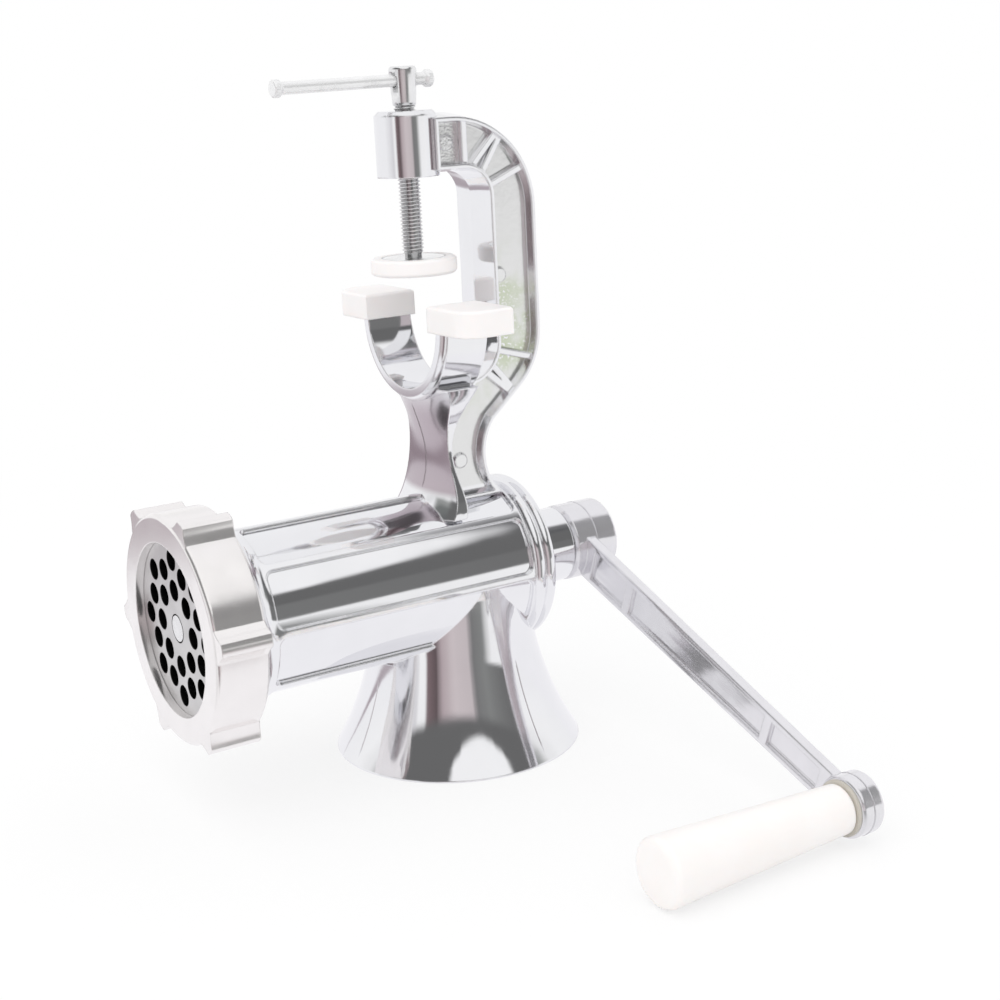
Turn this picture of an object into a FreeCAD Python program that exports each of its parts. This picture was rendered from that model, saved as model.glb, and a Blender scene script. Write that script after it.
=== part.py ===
"""Hand crank meat grinder, standing upside down on its hopper mouth with the table clamp on top.

Millimetres. +Z is up, +X runs along the feed axis from the hole plate to the crank.
The origin is the centre of the hopper mouth, on the floor.
"""
import math
import os

import FreeCAD
import Part

V = FreeCAD.Vector

# clearances
fit = 0.05            # running and seating fits
free = 0.3            # faces that only pass each other
wall_gap = 0.6        # screw flight to barrel bore

# hopper
rim_r = 45.0
throat_r = 28.5
hopper_wall = 3.0
throat_z = 60.0

# barrel
axis_h = 65.0
bore_r = 26.0
barrel_wall = 2.4
rib_out = 1.3
rib_w = 2.6
rib_count = 8
panel_round = 3.0
rib_band = 0.8        # raised band at each end of the ribs
barrel_back = 27.7    # back face of the rear flange
flange_up = 2.7       # flange above the barrel wall
flange_w = 4.6
end_wall = 8.0
boss_wall = 3.35
boss_len = 18.9
head_wall = 2.45
head_len = 15.0
head_flare = 5.6
counterbore = 3.0

# hole plate and nut
plate_ledge = 6.5     # plate beyond the bore
plate_t = 5.0
plate_back = -100.2
hole_r = 3.7
hole_rings = ((13.3, 0.0), (20.4, 0.5), (23.8, 0.0))
holes_per_ring = 8
pin_hole_r = 5.0
key_r = 2.0
key_len = 9.0
nut_depth = 18.5
nut_lip = 3.0
nut_hold = 2.7        # nut lip over the plate's edge
nut_wall = 4.3
lug_up = 4.6
lug_count = 6
lug_w = 11.0
lug_tip = 4.4
lug_phase = 24.2
nut_round = 1.6

# feed screw, drive stud and knife
core_front_r = 9.0
core_back_r = 13.0
flight_pitch = 33.0
flight_t = 4.0
flight_turns = 2.6
shaft_r = 8.5
square_w = 12.0
stud_square = 9.6
stud_pin_r = 4.5
stud_hold = 18.0
knife_t = 8.0
knife_r = 24.5
knife_hub_r = 10.5
knife_arms = 4
blade_w = 7.5
blade_edge = 2.5
bush_wall = 2.0
thrust_t = 1.5
thrust_r = 14.0

# crank
hub_up = 0.3          # hub over the bearing boss
hub_len = 19.1
hub_gap = 0.8
socket_len = 11.7
socket_web = 2.0
crank_r = 161.7
eye_r = 10.2
eye_t = 9.0
eye_out = -3.4         # eye stands this far behind the hub's middle
arm_set = 2.5         # arm in front of the hub's middle
arm_in = 0.9          # arm in front of the eye's middle
arm_h_hub = 17.0
arm_h_eye = 12.5
arm_t = 4.2
arm_rim = 2.2
arm_web = 1.8
arm_round = 0.9
pocket_gap = 3.6
pocket_short = 21.0
pocket_last = 25.0
screw_r = 3.0
screw_len = 24.0
screw_head_r = 6.0
screw_head_t = 3.4
screw_well_r = 8.2
screw_washer_t = 1.0

# grip
grip_len = 72.3
grip_big_r = 11.2
grip_small_r = 8.1
grip_round = 2.2
grip_pin_r = 3.2
grip_pin_in = 62.0
grip_washer_t = 0.8
grip_washer_r = 9.2

# clamp frame
clamp_x = -6.8       # screw axis
frame_w = 23.0
frame_end = 3.4       # frame ends this far behind the screw axis
web_t = 15.8
frame_draft = 1.5     # rails fall back by this from the middle plane to their edges
rail_edge = 1.3       # rail thickness at its edge
rail_root = 3.4       # rail thickness at the web
post_out = 38.2
bar_depth = 20.2
post_depth = 20.9
corner_r = 33.5
knee_r = 28.3
inner_r = 8.6
post_low = 150.5      # where the post turns into the knee
inner_low = 146.5     # the same on its inner side
inner_turn = 70.0
knee_turn = 49.0
waist_x = 12.7
waist_z = 108.0
waist_rise = 10.6     # waist curve above and beside its narrowest place
waist_spread = 9.0
frame_rib_t = 2.2
rib_shift = 1.0       # upright rib beside the corner
top_ribs = ((84, 55), (42, 52), (16, 26))       # corner ribs, angles at the inner and outer rail
knee_ribs = ((-14, -24), (-40, -55), (-72, -57))
frame_rib_drop = 1.0
ejector_r = 2.6
ejector_up = 0.9
ejector_rise = 19.4   # middle mark above the knee
screw_boss_r = 10.8
screw_boss_up = 1.2   # boss above the frame's top bar
screw_boss_len = 22.0
boss_chamfer = 1.4

# jaw yoke
yoke_r = 24.1
yoke_t = 4.6
yoke_depth = 17.6
yoke_shift = 2.0      # middle of the fork behind the clamp screw
yoke_nose = 1.8       # depth of the rounded front of the fork
nose_edge = 3.0
fork_low = 133.4      # bottom of the fork's inside
arm_cut = 2.1         # top of the arms below the middle of the fork's curve
stem_half = 13.3
stem_t = 4.4
stem_x = -5.2
stem_bulge = 2.1      # bulge of the stem's front over its edges
stem_waist = 115.0
stem_spread = 3.0     # half width over the waist's, halfway down to the foot
neck_spread = 5.5     # the same where the stem meets the fork
fork_spread = 9.5     # the same inside the fork
neck_in = 1.0         # heights of these two above the fork's underside
fork_in = 6.0
fork_skin = 1.0       # stem inside the fork's front and back
foot_half = 20.5
foot_flare = 7.0      # forward flare of the stem's foot on the barrel
peg_r = 2.5
peg_len = 5.0

# jaw pads
pad_x = 19.6
pad_y = 25.0
pad_t = 8.9
pad_lap = 2.8         # pad inside the arm of the fork
pad_shift = 1.4       # middle of the pads behind the clamp screw
pad_round = 8.0
pad_corner = 2.0
pad_edge = 0.8

# clamp screw, tommy bar and foot
thread_r = 3.85
head_top = 242.6
head_up = 14.6        # head's top above the boss
head_h = 12.9
head_top_r = 4.7
head_low_r = 4.0
bar_r = 1.9
bar_end_r = 3.0
bar_end_w = 3.0
bar_len = 59.6
bar_drop = 4.5        # bar below the head's top
bar_out = 10.9        # bar's short end beyond the screw axis
foot_r = 11.0
foot_t = 1.6
foot_hole_r = 2.9
rivet_r = 4.1
rivet_t = 1.2
pad_foot_r = 14.9
pad_foot_t = 5.6
pad_foot_low = 173.0

# places that follow from the sizes
axis = V(0, 0, axis_h)
screw_boss_top = head_top - head_up
frame_top = screw_boss_top - screw_boss_up
post_in = post_out - post_depth
yoke_mid = fork_low + yoke_r
arm_top = yoke_mid - arm_cut
yoke_front = clamp_x + yoke_shift - yoke_depth / 2
yoke_back = yoke_front + yoke_depth
barrel_r = bore_r + barrel_wall
flange_r = barrel_r + flange_up
plate_r = bore_r + plate_ledge
head_r = plate_r + fit + head_wall
nut_r = head_r + fit + nut_wall
nut_open_r = plate_r - nut_hold
lug_r = nut_r + lug_up
bar_z = head_top - bar_drop
bar_right = clamp_x + bar_out
plate_front = plate_back - plate_t
nut_front = plate_front - fit - nut_lip
head_front = plate_back - counterbore
flange_front = barrel_back - 2 * flange_w
wall_in = barrel_back - end_wall
boss_back = barrel_back + boss_len
hub_front = boss_back + hub_gap
hub_back = hub_front + hub_len
bore_bush_r = shaft_r + fit + bush_wall
boss_r = bore_bush_r + boss_wall
hub_r = boss_r + hub_up
droop = math.degrees(math.asin((axis_h - grip_big_r) / crank_r))
eye_mid = hub_front + hub_len / 2 + eye_out
eye_front = eye_mid - eye_t / 2
grip_back = eye_front - grip_washer_t - fit
grip_front = grip_back - grip_len
bar_left = bar_right - bar_len


def outline(start, *steps):
    """Closed flat face in the XZ plane: a step is a point, or a pair (point on the arc, end point)."""
    edges = []
    here = V(start[0], 0, start[1])
    first = here
    for step in steps + (start,):
        if isinstance(step[0], tuple):
            mid = V(step[0][0], 0, step[0][1])
            end = V(step[1][0], 0, step[1][1])
            edges.append(Part.Arc(here, mid, end).toShape())
        else:
            end = V(step[0], 0, step[1])
            if end.distanceToPoint(here) > 1e-6:
                edges.append(Part.makeLine(here, end))
        here = end
    if here.distanceToPoint(first) > 1e-6:
        edges.append(Part.makeLine(here, first))
    return Part.Face(Part.Wire(edges))


def turned(start, *steps):
    """Solid turned about the feed axis from an (x, radius) outline."""
    face = outline(start, *steps)
    face.translate(axis)
    return face.revolve(axis, V(1, 0, 0), 360)


def round_bar(radius, x0, x1):
    """Cylinder on the feed axis."""
    return Part.makeCylinder(radius, x1 - x0, V(x0, 0, axis_h), V(1, 0, 0))


def block(x0, x1, y0, y1, z0, z1):
    return Part.makeBox(x1 - x0, y1 - y0, z1 - z0, V(x0, y0, z0))


def about_axis(shape, degrees):
    """Copy of a shape turned about the feed axis."""
    copy = shape.copy()
    copy.rotate(axis, V(1, 0, 0), degrees)
    return copy


def slab(face, width):
    """Flat XZ face given a width in Y, centred on the middle plane."""
    solid = face.extrude(V(0, width, 0))
    solid.translate(V(0, -width / 2, 0))
    return solid


def arc_mid(cx, cz, radius, a, b):
    """Middle point of an arc given by its centre and its end angles in degrees."""
    t = math.radians((a + b) / 2)
    return (cx + radius * math.cos(t), cz + radius * math.sin(t))


def bell(offset):
    """Hopper flare turned about Z, its outline moved inwards by the offset."""
    spread = rim_r - throat_r
    curve = (spread ** 2 + throat_z ** 2) / (2 * spread)
    cx = throat_r + curve
    reach = curve + offset
    low = math.asin(throat_z / reach)
    start = (cx - reach * math.cos(low), 0)
    mid = (cx - reach * math.cos(low / 2), throat_z - reach * math.sin(low / 2))
    end = (cx - reach, throat_z)
    face = outline((0, 0), start, (mid, end), (end[0], axis_h), (0, axis_h))
    return face.revolve(V(0, 0, 0), V(0, 0, 1), 360)


def barrel_outside():
    """Turned outside of the barrel: threaded head, flare, plain tube, double ring flange and boss."""
    flare_end = head_front + head_len + head_flare
    flare_mid = (flare_end - 0.65 * head_flare, barrel_r + rib_out + 0.22 * (head_r - barrel_r - rib_out))
    half = flange_w / 2
    ring_low = flange_r - half
    ring1 = ((flange_front + half, flange_r), (flange_front + flange_w, ring_low))
    ring2 = ((flange_front + flange_w + half, flange_r - 0.7), (barrel_back, ring_low - 1.2))
    back_mid = (barrel_back + 1.2, boss_r + 3.2)
    body = turned((head_front, 0), (head_front, head_r), (head_front + head_len, head_r),
                  (flare_mid, (flare_end, barrel_r + rib_out)), (flange_front, barrel_r + rib_out),
                  (flange_front, ring_low), ring1, ring2,
                  (barrel_back, boss_r + 6), (back_mid, (barrel_back + 4, boss_r)),
                  (boss_back, boss_r), (boss_back, 0))
    panel = barrel_panel(flare_end + rib_band, flange_front - rib_band)
    panels = []
    for k in range(rib_count):
        panels.append(about_axis(panel, (k + 0.5) * 360 / rib_count))
    return body.cut(panels[0].multiFuse(panels[1:]))


def barrel_panel(front, back):
    """Shallow curved panel between two ribs, with round corners, to be cut into the barrel."""
    top = barrel_r + rib_out
    face = outline((front, barrel_r), (back, barrel_r), (back, top + 1), (front, top + 1))
    face.translate(axis)
    turn = 360 / rib_count - math.degrees(rib_w / top)
    panel = face.revolve(axis, V(1, 0, 0), turn)
    corners = [e for e in panel.Edges if e.BoundBox.XLength < 1e-6 and abs(e.Length - rib_out - 1) < 1e-6]
    return about_axis(panel.makeFillet(panel_round, corners), -turn / 2)


def frame_region():
    """Side outline of the clamp frame: top bar, round corners, post, knee, waist and spread foot."""
    cx = post_out - corner_r
    cz = frame_top - corner_r
    kx = post_out - knee_r
    turn = math.radians(knee_turn)
    knee = (kx + knee_r * math.cos(turn), post_low - knee_r * math.sin(turn))
    waist_top = waist_z + waist_rise
    slope = (knee[0] - (knee[1] - waist_top) * math.tan(turn), waist_top)
    foot_z = axis_h + bore_r
    in_x = post_in - inner_r
    in_z = frame_top - bar_depth - inner_r
    start_x = clamp_x + frame_end
    return outline((start_x, frame_top), (cx, frame_top),
                   (arc_mid(cx, cz, corner_r, 0, 90), (post_out, cz)), (post_out, post_low),
                   (arc_mid(kx, post_low, knee_r, -knee_turn, 0), knee), slope,
                   ((waist_x, waist_z), (waist_x + waist_spread, foot_z)),
                   (stem_x, foot_z), (stem_x, fork_low - rail_root),
                   (yoke_back - 1, fork_low - rail_root / 2),
                   (in_x - 1, inner_low - inner_r - rail_root / 2),
                   (arc_mid(in_x, inner_low, inner_r, -inner_turn, 0), (post_in, inner_low)),
                   (post_in, in_z), (arc_mid(in_x, in_z, inner_r, 0, 90), (in_x, in_z + inner_r)),
                   (start_x, in_z + inner_r))


def side_loft(region, near, far, side):
    """Loft between two offsets of the outline: each is (inward offset, distance from the middle plane)."""
    wires = []
    for offset, y in (near, far):
        wire = region.makeOffset2D(-offset, 2).OuterWire if offset else region.OuterWire
        moved = wire.copy()
        moved.translate(V(0, side * y, 0))
        wires.append(moved)
    return Part.makeLoft(wires, True, True)


def frame_half(region, side):
    """Half of the frame, tapered from the middle plane out to its edge."""
    return side_loft(region, (0, 0), (frame_draft, frame_w / 2), side)


def frame_pocket(region, side):
    """Tapered pocket on one side of the frame, from the rails' edges down to the web."""
    return side_loft(region, (frame_draft + rail_edge, frame_w / 2), (rail_root, web_t / 2), side)


def frame_rib(p, q):
    """Thin stiffening rib across the pocket from one XZ point to another."""
    length = math.hypot(q[0] - p[0], q[1] - p[1])
    width = frame_w - 2 * frame_rib_drop
    rib = Part.makeBox(length, width, frame_rib_t, V(0, -width / 2, -frame_rib_t / 2))
    rib.rotate(V(0, 0, 0), V(0, 1, 0), -math.degrees(math.atan2(q[1] - p[1], q[0] - p[0])))
    rib.translate(V(p[0], 0, p[1]))
    return rib


def corner_point(cx, cz, radius, degrees):
    t = math.radians(degrees)
    return (cx + radius * math.cos(t), cz + radius * math.sin(t))


def clamp_frame():
    """C-shaped clamp frame of I section, with its corner ribs, round ejector marks and screw boss."""
    region = frame_region()
    envelope = frame_half(region, -1).fuse(frame_half(region, 1))
    solid = envelope.cut(frame_pocket(region, -1)).cut(frame_pocket(region, 1))
    cx = post_out - corner_r
    top_z = frame_top - corner_r
    in_x = post_in - inner_r
    in_z = frame_top - bar_depth - inner_r
    ribs = []
    ribs.append(frame_rib((in_x + rib_shift, in_z + inner_r - 1), (in_x + rib_shift, frame_top - 1)))
    for inner, outer in top_ribs:
        ribs.append(frame_rib(corner_point(in_x, in_z, inner_r - 1, inner),
                              corner_point(cx, top_z, corner_r - 1, outer)))
    for inner, outer in knee_ribs:
        ribs.append(frame_rib(corner_point(in_x, inner_low, inner_r - 1, inner),
                              corner_point(post_out - knee_r, post_low, knee_r - 1, outer)))
    marks = ((in_x - 2 * ejector_r, frame_top - bar_depth / 2),
             (post_in + 2 * ejector_r, post_low + ejector_rise),
             (stem_x + 3 * ejector_r, waist_z - 2))
    for x, z in marks:
        ribs.append(Part.makeCylinder(ejector_r, web_t + 2 * ejector_up,
                                      V(x, -web_t / 2 - ejector_up, z), V(0, 1, 0)))
    boss = Part.makeCylinder(screw_boss_r, screw_boss_len, V(clamp_x, 0, screw_boss_top - screw_boss_len))
    rims = [e for e in boss.Edges if abs(e.BoundBox.ZMin - screw_boss_top) < 1e-6]
    boss = boss.makeChamfer(boss_chamfer, rims)
    return solid.multiFuse([rib.common(envelope) for rib in ribs] + [boss])


def stem_section(half, crest, edge, back, z):
    """Level section of the stem: flat back and bulged front, used as a loft section."""
    front = Part.Arc(V(edge, half, z), V(crest, 0, z), V(edge, -half, z)).toShape()
    rest = Part.makePolygon([V(edge, -half, z), V(back, -half, z), V(back, half, z), V(edge, half, z)])
    return Part.Wire([front] + rest.Edges)


def jaw_yoke():
    """U-shaped jaw fork with a rounded nose, on a bulged, waisted stem that spreads on to the barrel."""
    outer_r = yoke_r + yoke_t
    nose = outline((yoke_front, 0), (yoke_front, yoke_r + nose_edge),
                   ((yoke_front + 0.3 * yoke_nose, outer_r - 0.3 * yoke_t),
                    (yoke_front + yoke_nose, outer_r)),
                   (yoke_back, outer_r), (yoke_back, 0))
    nose.translate(V(0, 0, yoke_mid))
    outer = nose.revolve(V(0, 0, yoke_mid), V(1, 0, 0), 360)
    fork = outer.common(block(yoke_front, yoke_back, -outer_r, outer_r, yoke_mid - outer_r, arm_top))
    low_z = yoke_mid - outer_r
    foot_z = axis_h + bore_r - 3
    edge = stem_x - stem_t / 2 + stem_bulge
    stem = Part.makeLoft([
        stem_section(foot_half, edge - stem_bulge - foot_flare, edge - foot_flare / 2,
                     edge + stem_t / 2, foot_z),
        stem_section(stem_half + stem_spread, edge - stem_bulge, edge, edge + stem_t / 2,
                     (foot_z + stem_waist) / 2),
        stem_section(stem_half, edge - stem_bulge, edge, edge + stem_t / 2, stem_waist),
        stem_section(stem_half + neck_spread, yoke_front + yoke_nose, edge - stem_bulge / 2,
                     yoke_back - 2 * fork_skin, low_z + neck_in),
        stem_section(stem_half + fork_spread, yoke_front + fork_skin, edge - 2 * stem_bulge,
                     yoke_back - fork_skin, low_z + fork_in)], True)
    pegs = []
    for side in (-1, 1):
        pegs.append(Part.makeCylinder(peg_r, peg_len, V(clamp_x, side * (yoke_r + yoke_t / 2), arm_top)))
    return fork, stem, pegs


def body_casting():
    """Single casting: barrel, hopper, clamp frame and jaw yoke, bored and hollowed."""
    fork, stem, pegs = jaw_yoke()
    solid = barrel_outside().multiFuse([bell(0), clamp_frame(), stem, fork] + pegs)
    throat = Part.makeCylinder(yoke_r, yoke_depth + 2, V(yoke_front - 1, 0, yoke_mid), V(1, 0, 0))
    inside = round_bar(bore_r, head_front - 1, wall_in)
    seat = round_bar(plate_r + fit, head_front - 1, plate_back)
    bearing = round_bar(bore_bush_r, wall_in - 1, boss_back + 1)
    thread = Part.makeCylinder(thread_r + fit, screw_boss_len + 2,
                               V(clamp_x, 0, screw_boss_top - screw_boss_len - 1))
    key = round_bar(key_r, plate_back - 1, plate_back + key_len)
    key.translate(V(0, 0, bore_r + (plate_r - bore_r) / 2))
    solid = solid.cut(bell(hopper_wall)).cut(inside).cut(seat).cut(bearing).cut(thread).cut(throat)
    return solid.cut(key)


def rear_bush():
    return round_bar(bore_bush_r, wall_in, boss_back).cut(round_bar(shaft_r + fit, wall_in - 1,
                                                                    boss_back + 1))


def thrust_washer():
    ring = round_bar(thrust_r, wall_in - thrust_t, wall_in)
    return ring.cut(round_bar(shaft_r + fit, wall_in - thrust_t - 1, wall_in + 1))


def feed_screw():
    """Screw conveyor: tapered core, one helical flight, journal and square drive end."""
    front = plate_back + knife_t + fit * 2
    shoulder = wall_in - thrust_t - fit
    core = turned((front, 0), (front, core_front_r), (shoulder, core_back_r), (shoulder, 0))
    height = flight_turns * flight_pitch
    start = shoulder - 4 - height
    helix = Part.makeHelix(flight_pitch, height, bore_r / 2)
    half = flight_t / 2
    tip = bore_r - wall_gap
    low = core_front_r - 3
    profile = Part.makePolygon([V(low, 0, -half), V(tip, 0, -half * 0.6), V(tip, 0, half * 0.6),
                                V(low, 0, half), V(low, 0, -half)])
    flight = Part.Wire(helix).makePipeShell([profile], True, True)
    flight.rotate(V(0, 0, 0), V(0, 1, 0), 90)
    flight.translate(V(start, 0, axis_h))
    journal = round_bar(shaft_r, shoulder, hub_front)
    square = block(hub_front - 1, hub_front + socket_len - fit * 2, -square_w / 2, square_w / 2,
                   axis_h - square_w / 2, axis_h + square_w / 2)
    solid = core.multiFuse([flight, journal, square])
    tapped = round_bar(screw_r + fit, hub_front + socket_len - screw_len, hub_back)
    hold = round_bar(stud_pin_r + fit, front - 1, front + stud_hold + fit)
    return solid.cut(tapped).cut(hold)


def drive_stud():
    """Steel stud in the front of the feed screw: shank, square for the knife and round pilot."""
    front = plate_back + knife_t + fit * 2
    shank = round_bar(stud_pin_r, plate_front - fit, front + stud_hold)
    half = stud_square / 2
    square = block(plate_back + fit * 2, front, -half, half, axis_h - half, axis_h + half)
    return shank.fuse(square)


def knife():
    """Four-armed knife: wedge arms that sweep round a hub with a square hole."""
    x0 = plate_back + fit * 2
    x1 = x0 + knife_t - fit
    solid = round_bar(knife_hub_r, x0, x1)
    arms = []
    for k in range(knife_arms):
        face = outline((x0, -blade_w / 2), (x0, blade_w / 2), (x1 - 1.5, blade_w / 2 - blade_edge),
                       (x1 - 1.5, -blade_edge))
        arm = face.copy()
        arm.rotate(V(0, 0, 0), V(1, 0, 0), 90)
        arm = arm.extrude(V(0, 0, knife_r))
        arm.translate(axis)
        arms.append(about_axis(arm, k * 360 / knife_arms))
    half = stud_square / 2 + fit
    hole = block(x0 - 1, x1 + 1, -half, half, axis_h - half, axis_h + half)
    return solid.multiFuse(arms).cut(hole)


def hole_plate():
    """Round plate with three rings of holes, a pilot hole and a notch for the key."""
    solid = round_bar(plate_r, plate_front, plate_back)
    cuts = [round_bar(pin_hole_r, plate_front - 1, plate_back + 1)]
    step = 360 / holes_per_ring
    for ring_r, shift in hole_rings:
        for k in range(holes_per_ring):
            hole = round_bar(hole_r, plate_front - 1, plate_back + 1)
            hole.translate(V(0, ring_r, 0))
            cuts.append(about_axis(hole, (k + shift) * step))
    notch_r = key_r + fit
    notch = round_bar(notch_r, plate_front - 1, plate_back + 1)
    notch.translate(V(0, 0, bore_r + (plate_r - bore_r) / 2))
    mouth = block(plate_front - 1, plate_back + 1, -notch_r, notch_r,
                  axis_h + bore_r + (plate_r - bore_r) / 2, axis_h + plate_r + 1)
    return solid.cut(cuts[0].multiFuse(cuts[1:] + [notch, mouth]))


def plate_key():
    pin = round_bar(key_r, plate_back - plate_t * 0.7, plate_back + key_len)
    pin.translate(V(0, 0, bore_r + (plate_r - bore_r) / 2))
    return pin


def ring_nut():
    """Ring nut: turned cap with rounded rims and six lugs that taper in plan."""
    back = nut_front + nut_depth
    lead = nut_round * (1 - math.sqrt(0.5))
    body = turned((nut_front, nut_open_r), (nut_front, nut_r - nut_round),
                  ((nut_front + lead, nut_r - lead), (nut_front + nut_round, nut_r)), (back - 1, nut_r),
                  (back, nut_r - 1), (back, head_r + fit), (nut_front + nut_lip, head_r + fit),
                  (nut_front + nut_lip, nut_open_r))
    half = lug_w / 2
    tip = lug_tip / 2
    base = nut_r - 2
    hip = nut_r + lug_up * 0.3
    lugs = []
    for k in range(lug_count):
        face = outline((-half, base), (-half, nut_r - 0.4),
                       ((-(half + tip) / 2, hip), (-tip, lug_r - 0.4)),
                       ((0, lug_r), (tip, lug_r - 0.4)), (((half + tip) / 2, hip), (half, nut_r - 0.4)),
                       (half, base))
        face.rotate(V(0, 0, 0), V(0, 0, 1), 90)
        lug = face.extrude(V(nut_depth - 1, 0, 0))
        lug.translate(V(nut_front + 0.4, 0, axis_h))
        lugs.append(about_axis(lug, lug_phase + k * 360 / lug_count))
    bore = round_bar(head_r + fit, nut_front + nut_lip, back + 1)
    return body.multiFuse(lugs).cut(bore)


def tilted_bar(y0, h0, x0, y1, h1, x1, thick, radius):
    """Loft of two upright rounded rectangles along the crank: y, height and middle x at each end."""
    rings = []
    for y, h, x in ((y0, h0, x0), (y1, h1, x1)):
        box = block(x - thick / 2, x + thick / 2, y, y + 1, axis_h - h / 2, axis_h + h / 2)
        box = box.makeFillet(radius, [e for e in box.Edges if abs(e.BoundBox.YLength - 1) < 1e-6])
        rings.append([f for f in box.Faces if abs(f.BoundBox.YMax - y) < 1e-6][0].OuterWire)
    return Part.makeLoft(rings, True, True)


def arm_at(y):
    """Height and middle x of the crank arm at a distance y out from the feed axis."""
    share = y / crank_r
    hub_mid = hub_front + hub_len / 2 - arm_set
    return arm_h_hub + (arm_h_eye - arm_h_hub) * share, hub_mid + (eye_mid - arm_in - hub_mid) * share


def crank_arm():
    """Crank: hub with square socket and screw well, H-section arm with three pockets, eye for the grip."""
    ease = 1.2
    hub = turned((hub_front, 0), (hub_front, hub_r - ease), (hub_front + ease, hub_r),
                 (hub_back - ease, hub_r),
                 (hub_back, hub_r - ease), (hub_back, 0))
    eye = Part.makeCylinder(eye_r, eye_t, V(eye_front, -crank_r, axis_h), V(1, 0, 0))
    eye = eye.makeFillet(ease, [e for e in eye.Edges if len(e.Vertexes) == 1])
    h0, x0 = arm_at(0)
    h1, x1 = arm_at(crank_r)
    solid = tilted_bar(0, h0, x0, -crank_r, h1, x1, arm_t, arm_round).multiFuse([hub, eye])
    near = hub_r + pocket_gap
    far = crank_r - eye_r - pocket_gap
    spans = ((near, near + pocket_short), (near + pocket_short + pocket_gap,
                                           far - pocket_last - pocket_gap),
             (far - pocket_last, far))
    pockets = []
    for a, b in spans:
        ha, xa = arm_at(a)
        hb, xb = arm_at(b)
        for side in (-1, 1):
            out = side * (arm_web + arm_t) / 2
            pockets.append(tilted_bar(-a, ha - 2 * arm_rim, xa + out, -b, hb - 2 * arm_rim, xb + out,
                                      arm_t, arm_round))
    half = square_w / 2 + fit
    socket = block(hub_front - 1, hub_front + socket_len, -half, half, axis_h - half, axis_h + half)
    web_back = hub_front + socket_len + socket_web
    cuts = pockets + [socket, round_bar(screw_r + free, hub_front, hub_back),
                      round_bar(screw_well_r, web_back, hub_back + 1)]
    pin = Part.makeCylinder(grip_pin_r, eye_t + 2, V(eye_front - 1, -crank_r, axis_h), V(1, 0, 0))
    return solid.cut(cuts[0].multiFuse(cuts[1:] + [pin]))


def crank_washer():
    x0 = hub_front + socket_len + socket_web
    ring = round_bar(screw_well_r - free, x0, x0 + screw_washer_t)
    return ring.cut(round_bar(screw_r + fit, x0 - 1, x0 + screw_washer_t + 1))


def crank_screw():
    """Pan head screw with a cross slot that pulls the crank on to the square."""
    seat = hub_front + socket_len + socket_web + screw_washer_t
    shank = round_bar(screw_r, seat - screw_len, seat)
    dome = ((seat + screw_head_t * 0.8, screw_head_r * 0.75), (seat + screw_head_t, screw_head_r * 0.3))
    head = turned((seat, 0), (seat, screw_head_r), dome, (seat + screw_head_t, 0))
    slot = block(seat + screw_head_t - 1.6, seat + screw_head_t + 1, -0.7, 0.7, axis_h - 3.2,
                 axis_h + 3.2)
    return shank.fuse(head).cut(slot).cut(about_axis(slot, 90))


def grip_turned(start, *steps):
    """Solid turned about the grip's own axis."""
    face = outline(start, *steps)
    face.translate(V(0, -crank_r, axis_h))
    return face.revolve(V(0, -crank_r, axis_h), V(1, 0, 0), 360)


def grip():
    """Tapered plastic grip with a rounded free end and a blind bore for its pin."""
    lead = grip_round * (1 - math.sqrt(0.5))
    taper = (grip_big_r - grip_small_r) / grip_len
    body = grip_turned((grip_front, 0), (grip_front, grip_big_r - grip_round),
                       ((grip_front + lead, grip_big_r - lead), (grip_front + grip_round, grip_big_r)),
                       (grip_back - 0.8, grip_small_r + 0.8 * taper), (grip_back, grip_small_r - 0.8),
                       (grip_back, 0))
    bore = Part.makeCylinder(grip_pin_r + fit, grip_pin_in + 1,
                             V(grip_back - grip_pin_in, -crank_r, axis_h), V(1, 0, 0))
    return body.cut(bore)


def grip_pin():
    """Pin riveted in the eye of the crank; the grip turns on it."""
    x0 = grip_back - grip_pin_in + free
    pin = Part.makeCylinder(grip_pin_r, eye_front + eye_t - x0, V(x0, -crank_r, axis_h), V(1, 0, 0))
    end = eye_front + eye_t
    rivet = grip_turned((end, 0), (end, grip_pin_r + 1.6),
                        ((end + 1.0, grip_pin_r + 0.6), (end + 1.5, grip_pin_r - 1.4)),
                        (end + 1.5, 0))
    return pin.fuse(rivet)


def grip_washer():
    ring = Part.makeCylinder(grip_washer_r, grip_washer_t,
                             V(eye_front - grip_washer_t, -crank_r, axis_h), V(1, 0, 0))
    hole = Part.makeCylinder(grip_pin_r + fit, eye_t, V(eye_front - eye_t / 2, -crank_r, axis_h),
                             V(1, 0, 0))
    return ring.cut(hole)


def on_clamp(start, *steps):
    """Solid turned about the clamp screw from a (radius, z) outline."""
    face = outline(start, *steps)
    face.translate(V(clamp_x, 0, 0))
    return face.revolve(V(clamp_x, 0, 0), V(0, 0, 1), 360)


def clamp_screw():
    """Clamp screw: drilled head, plain thread body, neck and riveted end that holds the foot."""
    head_low = head_top - head_h
    foot_top = pad_foot_low + pad_foot_t
    neck_top = foot_top + fit
    rivet_top = neck_top - foot_t - 2 * fit
    body = on_clamp((0, head_top), (head_top_r - 0.6, head_top), (head_top_r, head_top - 0.6),
                    (head_top_r, head_top - 3), (head_low_r, head_low), (thread_r, head_low),
                    (thread_r, neck_top + 1), (thread_r - 1, neck_top),
                    (foot_hole_r - fit, neck_top), (foot_hole_r - fit, rivet_top),
                    (rivet_r, rivet_top), (rivet_r - 0.5, rivet_top - rivet_t), (0, rivet_top - rivet_t))
    hole = Part.makeCylinder(bar_r + fit, 4 * head_top_r, V(clamp_x - 2 * head_top_r, 0, bar_z),
                             V(1, 0, 0))
    return body.cut(hole)


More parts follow.
